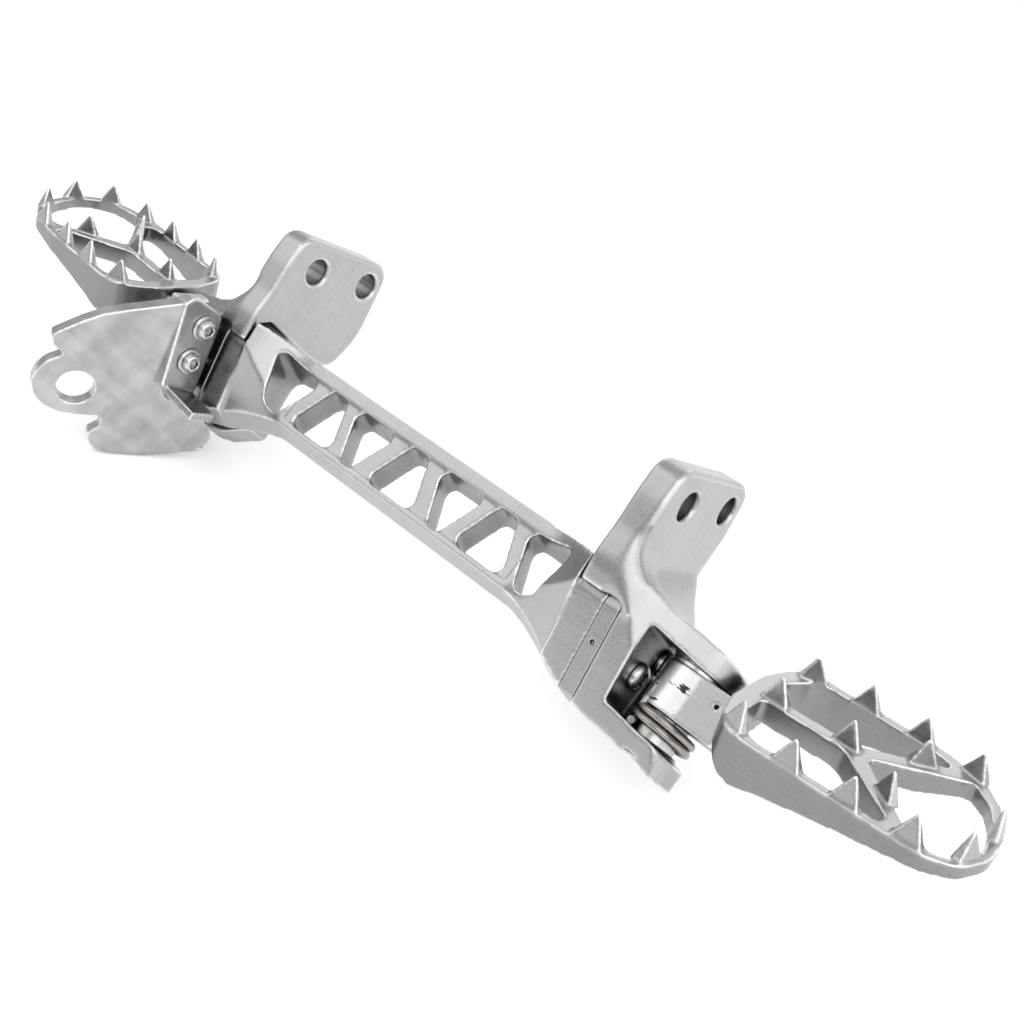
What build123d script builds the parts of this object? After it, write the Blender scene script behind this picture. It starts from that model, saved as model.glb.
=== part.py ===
from build123d import *
import math
import os

# Driving dimensions in millimetres
BAR_TILT = 52.7
BAR_DROP = (-16.94, -29.9)
DRAFT = 0.3

TRUSS_HALF = 62.0
RIM_FAR = 5.2
RIM_NEAR = -23.0
BAR_DEPTH = 12.0
WEB_RECESS = 0.6
POCKET_NEAR = -20.6
POCKET_R = 3.6
PIN_U = 133.0
END_OUT = PIN_U - 32.8
END_IN = END_OUT - 11.8

SPACER_T = 6.2
JOINT_GAP = 0.05

ARM_IN = PIN_U - 43.8
ARM_T = 12.0
MOUNT_PITCH_Y = 28.9
MOUNT_PITCH_Z = -7.8
MOUNT_R = 5.25

PIN_W = -11.5
PIN_R = 5.0
RUN_FIT = 0.05
EAR_R = 13.6
BARREL_R = 11.3
BARREL_LOW = -24.4
BARREL_HIGH = -7.7
WASHER_T = 1.2
NEAR_SEAT = -33.6
HEAD_SEAT = -36.8
HEAD_AF = 15.0
HEAD_H = 4.4
BUSH_T = 2.0
BOLT_L = 38.6
SLEEVE_R = 8.0

SPRING_WIRE = 2.8
SPRING_OD = 24.6
SPRING_TURNS = 2.0

PEG_X = PIN_U + 26.9
PEG_Y = -16.7
PEG_Z = -22.5
PEG_CANT = 2.3
PEG_SWEEP = 1.95
PEG_HALF = 28.6
RIM_TOP = -8.8
RIM_W = 3.4
RIB_W = 4.4
TOOTH_PITCH = 19.0
TOOTH_L = 9.8
TOOTH_B = 3.8
TOOTH_TIP = 0.9
ROOT_L = 20.0
ROOT_H = 20.0

CLAMP_R = 4.0
CLAMP_A = (-19.5, -7.5)
CLAMP_B = (-10.6, -18.5)
CLAMP_HEAD_R = 5.0
CLAMP_HEAD_H = 2.8
DOWEL_R = 2.0
DOWEL_SPOT = (-30.0, -7.0)
END_ROUND = 2.2
MARK_R = 0.9

PLATE_T = 6.0
PLATE_BEND = 7.0
FLANGE_X = -END_OUT - 0.3
PLATE_POINT = (FLANGE_X, -50.7, -14.0)
PLATE_NORMAL = (0.9, -0.42, -0.1)
LUG_HOLE_R = 7.2
LUG_SPOT = (-36.1, -42.0)
FLANGE_BORE_R = 3.2
FLANGE_SPOTS = ((-41.9, -25.5), (-46.3, -39.1))
FLANGE_OUTLINE = ((-52.0, -14.6), (-49.0, -12.8), (-46.0, -13.0), (-36.2, -19.2), (-33.2, -22.9), (-40.4, -53.8), (-56.8, -49.0))
STAND_SCREW_R = 3.0
STAND_HEAD_R = 3.9
STAND_HEAD_H = 2.4
STAND_WASHER_R = 5.2
STAND_WASHER_T = 1.3
SHELF_T = 3.6
FOOT_LOW = -32.0
FOOT_HIGH = -20.6
ARM_EDGE = 1.8
BORE_EDGE = 0.8
PLATE_OUTLINE = (
    (-47.6, -20.4), (-45.5, -18.6), (-37.5, -13.2), (-30.0, -9.0), (-22.0, -6.4), (-11.2, -3.4), (-1.0, -0.6), (2.0, -4.0),
    (0.0, -38.0), (-3.2, -41.6), (-0.7, -43.6), (9.3, -49.0), (18.6, -52.7), (19.2, -58.3), (20.7, -63.9), (16.6, -67.6),
    (5.3, -70.0), (-5.9, -71.6), (-17.2, -71.7), (-24.9, -70.5), (-28.4, -67.0), (-29.2, -62.5), (-24.8, -58.8), (-25.4, -54.2),
    (-34.3, -54.4), (-41.5, -53.8), (-47.5, -50.8), (-50.6, -47.7), (-52.3, -43.5), (-52.6, -40.2), (-51.3, -35.8), (-47.7, -31.2),
    (-42.5, -28.5), (-43.4, -26.6), (-46.6, -24.6),
)

# Frames
TILT = math.radians(BAR_TILT)
COS = math.cos(TILT)
SIN = math.sin(TILT)
ORIGIN = (0, BAR_DROP[0], BAR_DROP[1])
AXIS_V = Vector(0, COS, SIN)
AXIS_W = Vector(0, -SIN, COS)
DEEP = (Vector(0, 0, 0) - AXIS_W - AXIS_V * DRAFT).normalized()
DEEP_L = BAR_DEPTH * math.sqrt(1 + DRAFT * DRAFT)
BAR = Plane(origin=ORIGIN, x_dir=(1, 0, 0), z_dir=AXIS_W)
CROSS = Plane(origin=ORIGIN, x_dir=AXIS_V, z_dir=(1, 0, 0))
ABOVE = Plane(origin=BAR.from_local_coords(Vector(0, DRAFT * 16, 16)), x_dir=(1, 0, 0), z_dir=AXIS_W)
SIDE = Plane(origin=ORIGIN, x_dir=(1, 0, 0), z_dir=AXIS_V * -1)
PIN = SIDE.shift_origin(SIDE.from_local_coords(Vector(PIN_U, PIN_W, 0)))
PLATE = Plane(origin=PLATE_POINT, x_dir=Vector(*PLATE_NORMAL).cross(Vector(0, 0, 1)) * -1, z_dir=PLATE_NORMAL)
FLANGE = Plane(origin=(FLANGE_X, 0, 0), x_dir=(0, 1, 0), z_dir=(1, 0, 0))
ARM_OUT = ARM_IN + ARM_T
WALL_U = PIN_U - 16.2
BLOCK_IN = END_OUT + SPACER_T + 2 * JOINT_GAP


# An outline with its corners rounded: sharp ones by little, gentle ones by far, as its runs allow
def rounded(points, radius, little, bend=60, keep=()):
    with BuildSketch(mode=Mode.PRIVATE) as outline:
        Polygon(*points, align=None)
        for i, p in enumerate(points):
            q = points[i - 1]
            r = points[(i + 1) % len(points)]
            turn = math.atan2(r[1] - p[1], r[0] - p[0]) - math.atan2(p[1] - q[1], p[0] - q[0])
            turn = abs((turn + math.pi) % (2 * math.pi) - math.pi)
            fit = 0.45 * min(math.dist(p, q), math.dist(p, r)) / max(math.tan(turn / 2), 0.001)
            reach = min(radius if turn < math.radians(bend) else little, fit)
            if p not in keep and turn > 0.02 and reach > 0.05:
                fillet([v for v in outline.vertices() if math.dist((v.X, v.Y), p) < 0.001], reach)
    return outline.sketch


# Crossbar: slanted truss slab with seven triangular pockets and flared ends
FLARE_L = END_IN - TRUSS_HALF
FLARE_X = (TRUSS_HALF, TRUSS_HALF + 0.3 * FLARE_L, TRUSS_HALF + 0.64 * FLARE_L, END_IN)
FLARE_SECTIONS = (
    ((RIM_FAR, 0), (-19.0, 0), (RIM_NEAR, 0), (RIM_NEAR - DRAFT * BAR_DEPTH, -BAR_DEPTH), (RIM_FAR - DRAFT * BAR_DEPTH, -BAR_DEPTH)),
    ((RIM_FAR, 2.0), (-17.0, 1.6), (-24.6, -1.6), (-28.2, -12.0), (0.6, -13.0)),
    ((4.8, 7.0), (-12.4, 6.0), (-27.6, -1.4), (-31.4, -12.0), (-3.0, -15.5)),
    ((3.6, 14.6), (-6.6, 13.0), (-32.6, -1.0), (-35.6, -12.0), (-8.0, -19.5)),
)
STEP_FACE = ((-7.6, 11.0), (-32.8, 1.6), (-35.6, -12.0), (-8.0, -19.5), (4.4, -9.0), (4.4, 5.0), (0.0, 11.0))
END_FACE = ((-7.6, 11.0), (-37.8, -0.2), (-39.2, -12.0), (-8.0, -19.5), (4.4, -9.0), (4.4, 5.0), (0.0, 11.0))


# The flare's outline at one place: a smooth curve through its four named sections
def flare_section(x):
    shares = []
    for i, a in enumerate(FLARE_X):
        share = 1.0
        for b in FLARE_X[:i] + FLARE_X[i + 1:]:
            share = share * (x - b) / (a - b)
        shares.append(share)
    corners = []
    for n in range(len(FLARE_SECTIONS[0])):
        v = sum(share * section[n][0] for share, section in zip(shares, FLARE_SECTIONS))
        w = sum(share * section[n][1] for share, section in zip(shares, FLARE_SECTIONS))
        corners.append((v, w))
    return corners


with BuildPart() as half_bar:
    with BuildSketch(BAR):
        with Locations((TRUSS_HALF / 2, (RIM_FAR + RIM_NEAR) / 2)):
            Rectangle(TRUSS_HALF, RIM_FAR - RIM_NEAR)
    extrude(amount=DEEP_L, dir=DEEP)
    for k in range(9):
        for j in (k, k + 1):
            x = TRUSS_HALF + FLARE_L * j / 9
            with BuildSketch(CROSS.offset(x)):
                Polygon(*flare_section(x), align=None)
        loft(ruled=True)
    with BuildSketch(CROSS.offset(END_IN)):
        add(rounded(STEP_FACE, 0, END_ROUND, 10, STEP_FACE[1:]))
    with BuildSketch(CROSS.offset(END_OUT)):
        add(rounded(END_FACE, 0, END_ROUND, 10, END_FACE[1:]))
    loft(ruled=True)

with BuildPart() as crossbar:
    add(half_bar.part)
    mirror(half_bar.part, about=Plane.YZ)
    with BuildSketch(BAR.offset(0.01)):
        with Locations((0, POCKET_NEAR / 2)):
            Rectangle(2 * TRUSS_HALF - 2, -POCKET_NEAR)
    extrude(amount=WEB_RECESS + 0.01, dir=DEEP, mode=Mode.SUBTRACT)
    with BuildSketch(ABOVE) as pockets:
        for s in (-1, 1):
            with BuildLine():
                Polyline((s * 45.4 - 4.2, 0), (s * 45.4 + 4.2, 0), (s * 45.8 + 12.6, POCKET_NEAR + 0.4), (s * 45.8 - 12.6, POCKET_NEAR + 0.4), close=True)
            make_face()
            with BuildLine():
                Polyline((s * 11.8, 0), (s * 35.0, 0), (s * 26.6, POCKET_NEAR), (s * 21.4, POCKET_NEAR), close=True)
            make_face()
            with BuildLine():
                Polyline(
                    (s * 56.4, 0), (s * (TRUSS_HALF + 0.644 * FLARE_L), 0), (s * (TRUSS_HALF + 0.424 * FLARE_L), POCKET_NEAR + 1.2),
                    (s * (TRUSS_HALF + 0.114 * FLARE_L), POCKET_NEAR), close=True,
                )
            make_face()
        with BuildLine():
            Polyline((-4.2, 0), (4.2, 0), (13.0, POCKET_NEAR), (-13.0, POCKET_NEAR), close=True)
        make_face()
        fillet(pockets.vertices(), POCKET_R)
    extrude(amount=60, dir=DEEP, mode=Mode.SUBTRACT)
    for s in (-1, 1):
        with BuildSketch(CROSS.offset(s * (END_OUT + 1))):
            with Locations(CLAMP_A, CLAMP_B):
                Circle(CLAMP_R)
        extrude(amount=-s * 20, mode=Mode.SUBTRACT)
        with BuildSketch(CROSS.offset(s * (END_OUT + 1))):
            with Locations(DOWEL_SPOT):
                Circle(DOWEL_R)
        extrude(amount=-s * 6.5, mode=Mode.SUBTRACT)
crossbar.part.label = "crossbar"

# Spacers between bar ends and brackets
with BuildPart() as right_spacer:
    with BuildSketch(CROSS.offset(END_OUT + JOINT_GAP)):
        add(rounded(END_FACE, 0, END_ROUND, 10, END_FACE[1:]))
        with Locations(CLAMP_A, CLAMP_B):
            Circle(CLAMP_R, mode=Mode.SUBTRACT)
        with Locations(DOWEL_SPOT):
            Circle(DOWEL_R, mode=Mode.SUBTRACT)
    extrude(amount=SPACER_T)
    with BuildSketch(BAR.offset(9)):
        with Locations((END_OUT + SPACER_T / 2, -19.9)):
            Circle(MARK_R)
    extrude(amount=-4.2, mode=Mode.SUBTRACT)
right_spacer.part.label = "right_spacer"

with BuildPart() as left_spacer:
    mirror(right_spacer.part, about=Plane.YZ)
left_spacer.part.label = "left_spacer"

# Bracket: drilled arm, solid block and two-eared yoke
ARM_PROFILE = (
    (41.1, 21.1), (58.6, -28.4), (27.8, -39.6), (9.0, -37.0), (6.4, -22.0), (6.4, 8.0), (2.6, 12.4),
    (-5.4, 12.4), (-5.4, 14.0), (2.9, 17.4), (15.0, 18.0), (28.0, 20.4),
)
ARM_UNDER = ((-60.0, 12.4), (2.6, 12.4), (6.4, 8.0), (6.4, -40.0), (-60.0, -40.0))
EAR_TIP = PIN_U + 16.0
YOKE_PLAN = (
    (ARM_OUT - 1, 15.0), (ARM_OUT + 3.3, 9.0), (ARM_OUT + 8.8, 5.4), (ARM_OUT + 16.8, 3.7), (PIN_U - 2, 2.9), (PIN_U + 9, 1.8),
    (EAR_TIP - 1.2, -1.0), (EAR_TIP, -7.4), (WALL_U, -4.0), (WALL_U, -32.0), (EAR_TIP - 0.2, -35.7), (EAR_TIP, -44.0),
    (PIN_U + 0.9, -42.1), (WALL_U + 1.7, -40.4),
    (BLOCK_IN, -39.4), (BLOCK_IN, -5.4), (ARM_OUT - 1, -5.4),
)
YOKE_SIDE = (
    (ARM_OUT - 1, -25.1), (PIN_U, PIN_W - EAR_R), (PIN_U + EAR_R, PIN_W), (PIN_U + 0.309 * EAR_R, PIN_W + 0.951 * EAR_R),
    (PIN_U - 7, 4.8), (PIN_U - 15, 7.8), (PIN_U - 21, 10.8), (ARM_OUT + 6.3, 14.0), (ARM_OUT + 2.8, 16.2), (ARM_OUT - 1, 17.2),
)
REAR_CUT = ((-5.4, 13.4), (-7.6, 11.0), (-50.0, -4.8), (-50.0, 40.0), (4.0, 40.0), (2.9, 17.3))
with BuildPart() as yoke:
    with BuildSketch(BAR.offset(-40)):
        add(rounded(YOKE_PLAN, 20, 3.6, 60, YOKE_PLAN[8:11] + YOKE_PLAN[14:] + YOKE_PLAN[:1]))
    extrude(amount=70)
    with BuildSketch(SIDE.offset(-20)):
        add(rounded(YOKE_SIDE, 30, 0, 60, YOKE_SIDE[:4]))
        with Locations((PIN_U, PIN_W)):
            Circle(EAR_R)
    extrude(amount=70, mode=Mode.INTERSECT)
    with BuildSketch(CROSS.offset(ARM_OUT - 2)):
        Polygon(*REAR_CUT, align=None)
    extrude(amount=70, mode=Mode.SUBTRACT)

GUSSET_END = ARM_OUT + 16.8
GUSSET_LOW = (
    (ARM_OUT - 1, 27.4), (ARM_OUT + 2.8, 22.0), (ARM_OUT + 6.3, 16.2), (ARM_OUT + 8.8, 11.3), (ARM_OUT + 11.8, 7.0),
    (GUSSET_END, 4.0), (GUSSET_END, 0), (ARM_OUT - 1, 0),
)
GUSSET_HIGH = (
    (ARM_OUT - 1, 14.8), (ARM_OUT + 2.8, 9.4), (ARM_OUT + 5.8, 7.0), (ARM_OUT + 8.8, 5.4), (ARM_OUT + 12.8, 4.3),
    (GUSSET_END, 3.7), (GUSSET_END, 0), (ARM_OUT - 1, 0),
)
with BuildPart() as gusset:
    with BuildSketch(BAR.offset(-34)):
        with BuildLine():
            Spline(*GUSSET_LOW[:6], tangents=((0, -1), (1, 0)))
            Polyline(*GUSSET_LOW[5:], GUSSET_LOW[0])
        make_face()
    with BuildSketch(BAR.offset(2)):
        with BuildLine():
            Spline(*GUSSET_HIGH[:6], tangents=((0, -1), (1, 0)))
            Polyline(*GUSSET_HIGH[5:], GUSSET_HIGH[0])
        make_face()
    loft(ruled=True)

with BuildPart() as arm:
    with BuildSketch(CROSS.offset(ARM_IN)) as arm_face:
        add(rounded(ARM_PROFILE, 30, 8, 70, ARM_PROFILE[4:9]))
    extrude(amount=ARM_T)
    rims = arm.edges().filter_by(lambda e: abs(e.tangent_at(0.5).X) < 0.1 and (e.center() - Vector(*ORIGIN)).dot(AXIS_V) > 6)
    fillet(rims, ARM_EDGE)

with BuildPart() as right_bracket:
    add(arm.part)
    add(yoke.part)
    add(gusset.part)
    with BuildSketch(CROSS.offset(ARM_OUT - 2)):
        Polygon(*ARM_UNDER, align=None)
    extrude(amount=BLOCK_IN - ARM_OUT + 2, mode=Mode.SUBTRACT)
    with BuildSketch(SIDE.offset(16.4)):
        Polygon((WALL_U - 1, PIN_W - EAR_R), (PIN_U - 5, PIN_W - EAR_R), (PIN_U - 12.5, PIN_W - 9), (WALL_U - 1, PIN_W - 5.5), align=None)
    extrude(amount=20)
    with BuildSketch(PIN.offset(-BARREL_HIGH - WASHER_T - 2 * RUN_FIT - 4)):
        Circle(BARREL_R)
    extrude(amount=4)
    with BuildSketch(PIN.offset(-NEAR_SEAT)):
        Circle(BARREL_R - 1.5)
    extrude(amount=3)
    with BuildSketch(PIN.offset(-NEAR_SEAT)):
        Circle(SPRING_OD / 2 + 0.5)
    extrude(amount=-6, mode=Mode.SUBTRACT)
    with BuildSketch(PIN.offset(-BARREL_HIGH - WASHER_T - 2 * RUN_FIT)):
        Circle(BARREL_R + 0.5)
    extrude(amount=4, mode=Mode.SUBTRACT)
    with BuildSketch(PIN.offset(-30)):
        Circle(PIN_R + RUN_FIT)
    extrude(amount=90, mode=Mode.SUBTRACT)
    with BuildSketch(PIN.offset(-HEAD_SEAT)):
        Circle(HEAD_AF * 0.5774 + 1.4)
    extrude(amount=20, mode=Mode.SUBTRACT)
    with BuildSketch(Plane.YZ.offset(ARM_IN - 1)):
        with Locations((0, 0), (MOUNT_PITCH_Y, MOUNT_PITCH_Z)):
            Circle(MOUNT_R)
    extrude(amount=ARM_T + 2, mode=Mode.SUBTRACT)
    rings = right_bracket.edges().filter_by(GeomType.CIRCLE).filter_by(lambda e: abs(e.radius - MOUNT_R) < 0.01)
    chamfer(rings, BORE_EDGE)
    with BuildSketch(CROSS.offset(BLOCK_IN - 1)):
        with Locations(CLAMP_A, CLAMP_B):
            Circle(CLAMP_R)
    extrude(amount=14, mode=Mode.SUBTRACT)
    with BuildSketch(CROSS.offset(BLOCK_IN - 1)):
        with Locations(DOWEL_SPOT):
            Circle(DOWEL_R)
    extrude(amount=6.5, mode=Mode.SUBTRACT)
right_bracket.part.label = "right_bracket"

FOOT_PLAN = (
    (1.2 - ARM_IN, -24.0), (1.2 - ARM_IN, -31.2), (1.2 - ARM_OUT, -39.0), (-ARM_OUT - 5.8, -41.0), (-GUSSET_END, -41.0),
    (-GUSSET_END, -24.0),
)
BOSS_FACE = ((-8.0, 34.0), (-1.2, 22.0), (-4.6, 10.0), (-32.0, -2.0), (-34.0, 12.0), (-22.0, 28.0))
with BuildPart() as left_bracket:
    mirror(right_bracket.part, about=Plane.YZ)
    with BuildSketch(BAR.offset(FOOT_LOW)):
        Polygon(*FOOT_PLAN, align=None)
    extrude(amount=FOOT_HIGH - FOOT_LOW)
    with BuildSketch(CROSS.offset(-BLOCK_IN)):
        Polygon(*BOSS_FACE, align=None)
    extrude(amount=-7.4)
    with BuildSketch(PLATE.offset(0.1)):
        Polygon(*PLATE_OUTLINE, align=None)
    extrude(amount=-PLATE_T - 0.2, mode=Mode.SUBTRACT)
    with BuildSketch(FLANGE.offset(-PLATE_T)):
        with Locations(*FLANGE_SPOTS):
            Circle(STAND_SCREW_R + RUN_FIT)
    extrude(amount=-30, mode=Mode.SUBTRACT)
left_bracket.part.label = "left_bracket"

# Clamp screws through the pocket wall and dowels in the spacers
def clamp_screw(spot):
    with BuildPart() as screw:
        with BuildSketch(CROSS.offset(WALL_U + JOINT_GAP)):
            with Locations(spot):
                Circle(CLAMP_HEAD_R)
        extrude(amount=CLAMP_HEAD_H)
        fillet(screw.edges().sort_by(Axis.X)[-1], 2.4)
        with BuildSketch(CROSS.offset(WALL_U + JOINT_GAP + CLAMP_HEAD_H)):
            with Locations(spot):
                RegularPolygon(2.9, 6)
        extrude(amount=-2.2, mode=Mode.SUBTRACT)
        with BuildSketch(CROSS.offset(WALL_U + JOINT_GAP)):
            with Locations(spot):
                Circle(CLAMP_R - RUN_FIT)
        extrude(amount=-30)
    return screw.part


with BuildPart() as right_clamp_screws:
    add(clamp_screw(CLAMP_A))
    add(clamp_screw(CLAMP_B))
right_clamp_screws.part.label = "right_clamp_screws"

with BuildPart() as left_clamp_screws:
    mirror(right_clamp_screws.part, about=Plane.YZ)
left_clamp_screws.part.label = "left_clamp_screws"

with BuildPart() as right_dowel:
    with BuildSketch(CROSS.offset(END_OUT - 5)):
        with Locations(DOWEL_SPOT):
            Circle(DOWEL_R - RUN_FIT)
    extrude(amount=SPACER_T + 2 * JOINT_GAP + 10)
right_dowel.part.label = "right_dowel"

with BuildPart() as left_dowel:
    mirror(right_dowel.part, about=Plane.YZ)
left_dowel.part.label = "left_dowel"

# Pivot: bolt, sleeve, thrust washer and bush about the pin axis
with BuildPart() as right_pivot_bolt:
    with BuildSketch(PIN.offset(-HEAD_SEAT + JOINT_GAP)):
        RegularPolygon(HEAD_AF / 2, 6, major_radius=False)
    extrude(amount=HEAD_H)
    chamfer(right_pivot_bolt.faces().sort_by(Axis(ORIGIN, AXIS_V))[0].edges(), 0.7)
    with BuildSketch(PIN.offset(-HEAD_SEAT + JOINT_GAP)):
        Circle(PIN_R)
    extrude(amount=-BOLT_L)
right_pivot_bolt.part.label = "right_pivot_bolt"

with BuildPart() as left_pivot_bolt:
    mirror(right_pivot_bolt.part, about=Plane.YZ)
left_pivot_bolt.part.label = "left_pivot_bolt"

with BuildPart() as right_thrust_washer:
    with BuildSketch(PIN.offset(-BARREL_HIGH - RUN_FIT)):
        Circle(BARREL_R - 0.4)
        Circle(PIN_R + RUN_FIT, mode=Mode.SUBTRACT)
    extrude(amount=-WASHER_T)
right_thrust_washer.part.label = "right_thrust_washer"

with BuildPart() as left_thrust_washer:
    mirror(right_thrust_washer.part, about=Plane.YZ)
left_thrust_washer.part.label = "left_thrust_washer"

with BuildPart() as right_spring_sleeve:
    with BuildSketch(PIN.offset(-BARREL_LOW + RUN_FIT)):
        Circle(SLEEVE_R)
        Circle(PIN_R + RUN_FIT, mode=Mode.SUBTRACT)
    extrude(amount=BARREL_LOW - NEAR_SEAT - 2 * RUN_FIT)
right_spring_sleeve.part.label = "right_spring_sleeve"

with BuildPart() as left_spring_sleeve:
    mirror(right_spring_sleeve.part, about=Plane.YZ)
left_spring_sleeve.part.label = "left_spring_sleeve"

with BuildPart() as right_bush:
    with BuildSketch(PIN.offset(-BARREL_HIGH)):
        Circle(PIN_R + RUN_FIT + BUSH_T)
        Circle(PIN_R + RUN_FIT, mode=Mode.SUBTRACT)
    extrude(amount=BARREL_HIGH - BARREL_LOW)
right_bush.part.label = "right_bush"

with BuildPart() as left_bush:
    mirror(right_bush.part, about=Plane.YZ)
left_bush.part.label = "left_bush"

# Torsion spring between the near ear and the knuckle
COIL_R = (SPRING_OD - SPRING_WIRE) / 2
COIL_PITCH = SPRING_WIRE + 0.1
COIL_FRAME = PIN.offset(-BARREL_LOW + SPRING_WIRE / 2 + 0.3)
with BuildPart() as right_spring:
    with BuildLine() as coil:
        Helix(COIL_PITCH, COIL_PITCH * SPRING_TURNS, COIL_R, center=COIL_FRAME.origin, direction=COIL_FRAME.z_dir)
    with BuildSketch(Plane(origin=coil.line @ 0, z_dir=coil.line % 0)):
        Circle(SPRING_WIRE / 2)
    sweep(is_frenet=True)
right_spring.part.label = "right_spring"

with BuildPart() as left_spring:
    mirror(right_spring.part, about=Plane.YZ)
left_spring.part.label = "left_spring"

# Foot pegs: open frame with a forked rib, pyramid teeth and a hinge knuckle
PEG_OUT = Vector(
    math.cos(math.radians(PEG_CANT)) * math.cos(math.radians(PEG_SWEEP)), math.sin(math.radians(PEG_SWEEP)), math.sin(math.radians(PEG_CANT))
)
PEG_UP = Vector(-math.sin(math.radians(PEG_CANT)), 0, math.cos(math.radians(PEG_CANT)))
TREAD = Plane(origin=(PEG_X, PEG_Y, PEG_Z), x_dir=PEG_OUT, z_dir=PEG_UP)
PEG_SIDE = Plane(origin=(PEG_X, PEG_Y, PEG_Z), x_dir=PEG_OUT, z_dir=TREAD.y_dir * -1)
WALL_SIDE = (
    (-16.0, RIM_TOP), (92.0, RIM_TOP), (92.0, -13.4), (68.0, -14.0), (56.0, -15.4), (38.0, -18.1), (18.0, -22.0),
    (6.0, -25.0), (1.0, -24.4), (-5.0, -20.4), (-16.0, -16.0),
)
RIB_LOW = -17.0
ROOT_RIM = ((-9.9, -9.5), (-6.6, -21.0), (-2.2, -26.6), (5.0, -PEG_HALF), (45.0, -PEG_HALF))
NEAR_POCKET = ((-2.8, -2.4), (-2.8, -13.5), (3.0, -23.4), (8.0, -25.2), (53.0, -25.2), (25.6, -2.4))
FAR_POCKET = ((-2.8, 2.6), (-2.8, 13.5), (2.6, 23.4), (8.0, 25.2), (44.0, 25.0), (52.0, 22.0), (26.0, 2.6))
RIGHT_END = ((62.3, -28.0), (71.6, -23.4), (76.2, -11.0), (75.4, 0.0), (73.0, 8.5), (68.2, 17.0), (62.0, 23.5), (56.0, 26.0), (45.0, PEG_HALF))
RIGHT_HOLE = ((32.0, 0.0), (54.5, -20.8), (61.6, -25.0), (70.2, -21.2), (72.8, -10.6), (71.8, -1.0), (69.6, 6.6), (65.4, 14.4), (58.6, 20.6))
LEFT_END = ((62.0, -26.8), (73.0, -20.6), (81.0, -9.0), (85.0, 3.0), (83.5, 14.0), (76.0, 22.5), (64.0, 27.0), (52.0, PEG_HALF))
LEFT_HOLE = (
    (32.0, 0.0), (54.5, -20.8), (61.4, -22.8), (70.6, -17.4), (77.4, -7.6), (81.0, 3.0), (79.8, 12.6), (73.6, 19.4), (62.0, 23.0),
    (57.6, 21.0),
)
RING_TEETH = (
    (0.0, -23.8, 61), (TOOTH_PITCH, -26.6, 90), (2 * TOOTH_PITCH, -26.4, 90), (3 * TOOTH_PITCH, -25.8, 90),
    (0.6, 23.8, 119), (TOOTH_PITCH, 26.6, 90), (2 * TOOTH_PITCH, 26.4, 90), (3 * TOOTH_PITCH, 24.4, 70),
    (0.4, 0.1, 90), (25.2, 0.4, 90), (44.0, 13.9, 128), (44.4, -12.4, 52),
)
RIGHT_TEETH = ((70.8, -17.0, -20), (72.4, 1.6, 5))
LEFT_TEETH = ((73.9, -16.2, -32), (82.8, 2.2, 0), (77.4, 18.4, 41))


def peg_body(end, hole, teeth):
    outline = ROOT_RIM + end + ((5.0, PEG_HALF), (-2.2, 26.6), (-6.6, 21.0), (-9.9, 9.5))
    inner = ((-2.8, 13.5), (-2.8, -13.5), (3.0, -23.4), (8.0, -25.2)) + hole[2:] + ((44.0, 25.0), (8.0, 25.2), (2.6, 23.4))
    with BuildPart() as peg:
        with BuildSketch(TREAD.offset(RIM_TOP - 24)) as rim:
            add(rounded(outline, 14, 5))
        extrude(amount=24)
        with BuildSketch(PEG_SIDE.offset(-40)):
            Polygon(*WALL_SIDE, align=None)
        extrude(amount=80, mode=Mode.INTERSECT)
        with BuildSketch(TREAD.offset(RIM_TOP + 1)) as openings:
            add(rounded(NEAR_POCKET, 9, 2.6))
            add(rounded(FAR_POCKET, 9, 2.6))
            add(rounded(hole, 9, 2.6))
        extrude(amount=-60, mode=Mode.SUBTRACT)
        with BuildSketch(TREAD.offset(RIB_LOW)) as under:
            add(rounded(inner, 9, 2.6))
        extrude(amount=-60, mode=Mode.SUBTRACT)
        for p, q, turn in teeth:
            with BuildSketch(TREAD.offset(RIM_TOP - 0.3)):
                with Locations(Location((p, q, 0), (0, 0, turn))):
                    Rectangle(TOOTH_B, TOOTH_L)
            with BuildSketch(TREAD):
                with Locations(Location((p - 0.6 * (abs(q) < 20), q - math.copysign(0.6, q) * (abs(q) > 20), 0), (0, 0, turn))):
                    Rectangle(TOOTH_TIP, TOOTH_TIP)
            loft(ruled=True)
        with BuildSketch(PIN.offset(-BARREL_HIGH)):
            Circle(BARREL_R)
            with Locations((ROOT_L / 2, BARREL_R - ROOT_H / 2)):
                Rectangle(ROOT_L, ROOT_H)
        extrude(amount=BARREL_HIGH - BARREL_LOW)
        with BuildSketch(BAR.offset(PIN_W + BARREL_R + 1)):
            with Locations((PIN_U + 13.9, -13.0)):
                Circle(0.8)
        extrude(amount=-3.4, mode=Mode.SUBTRACT)
        with BuildSketch(PIN.offset(-BARREL_HIGH)):
            Circle(PIN_R + RUN_FIT + BUSH_T)
        extrude(amount=BARREL_HIGH - BARREL_LOW, mode=Mode.SUBTRACT)
    return peg.part


with BuildPart() as right_peg:
    add(peg_body(RIGHT_END, RIGHT_HOLE, RING_TEETH + RIGHT_TEETH))
right_peg.part.label = "right_peg"

with BuildPart() as left_peg:
    mirror(peg_body(LEFT_END, LEFT_HOLE, RING_TEETH + LEFT_TEETH), about=Plane.YZ)
left_peg.part.label = "left_peg"

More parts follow.
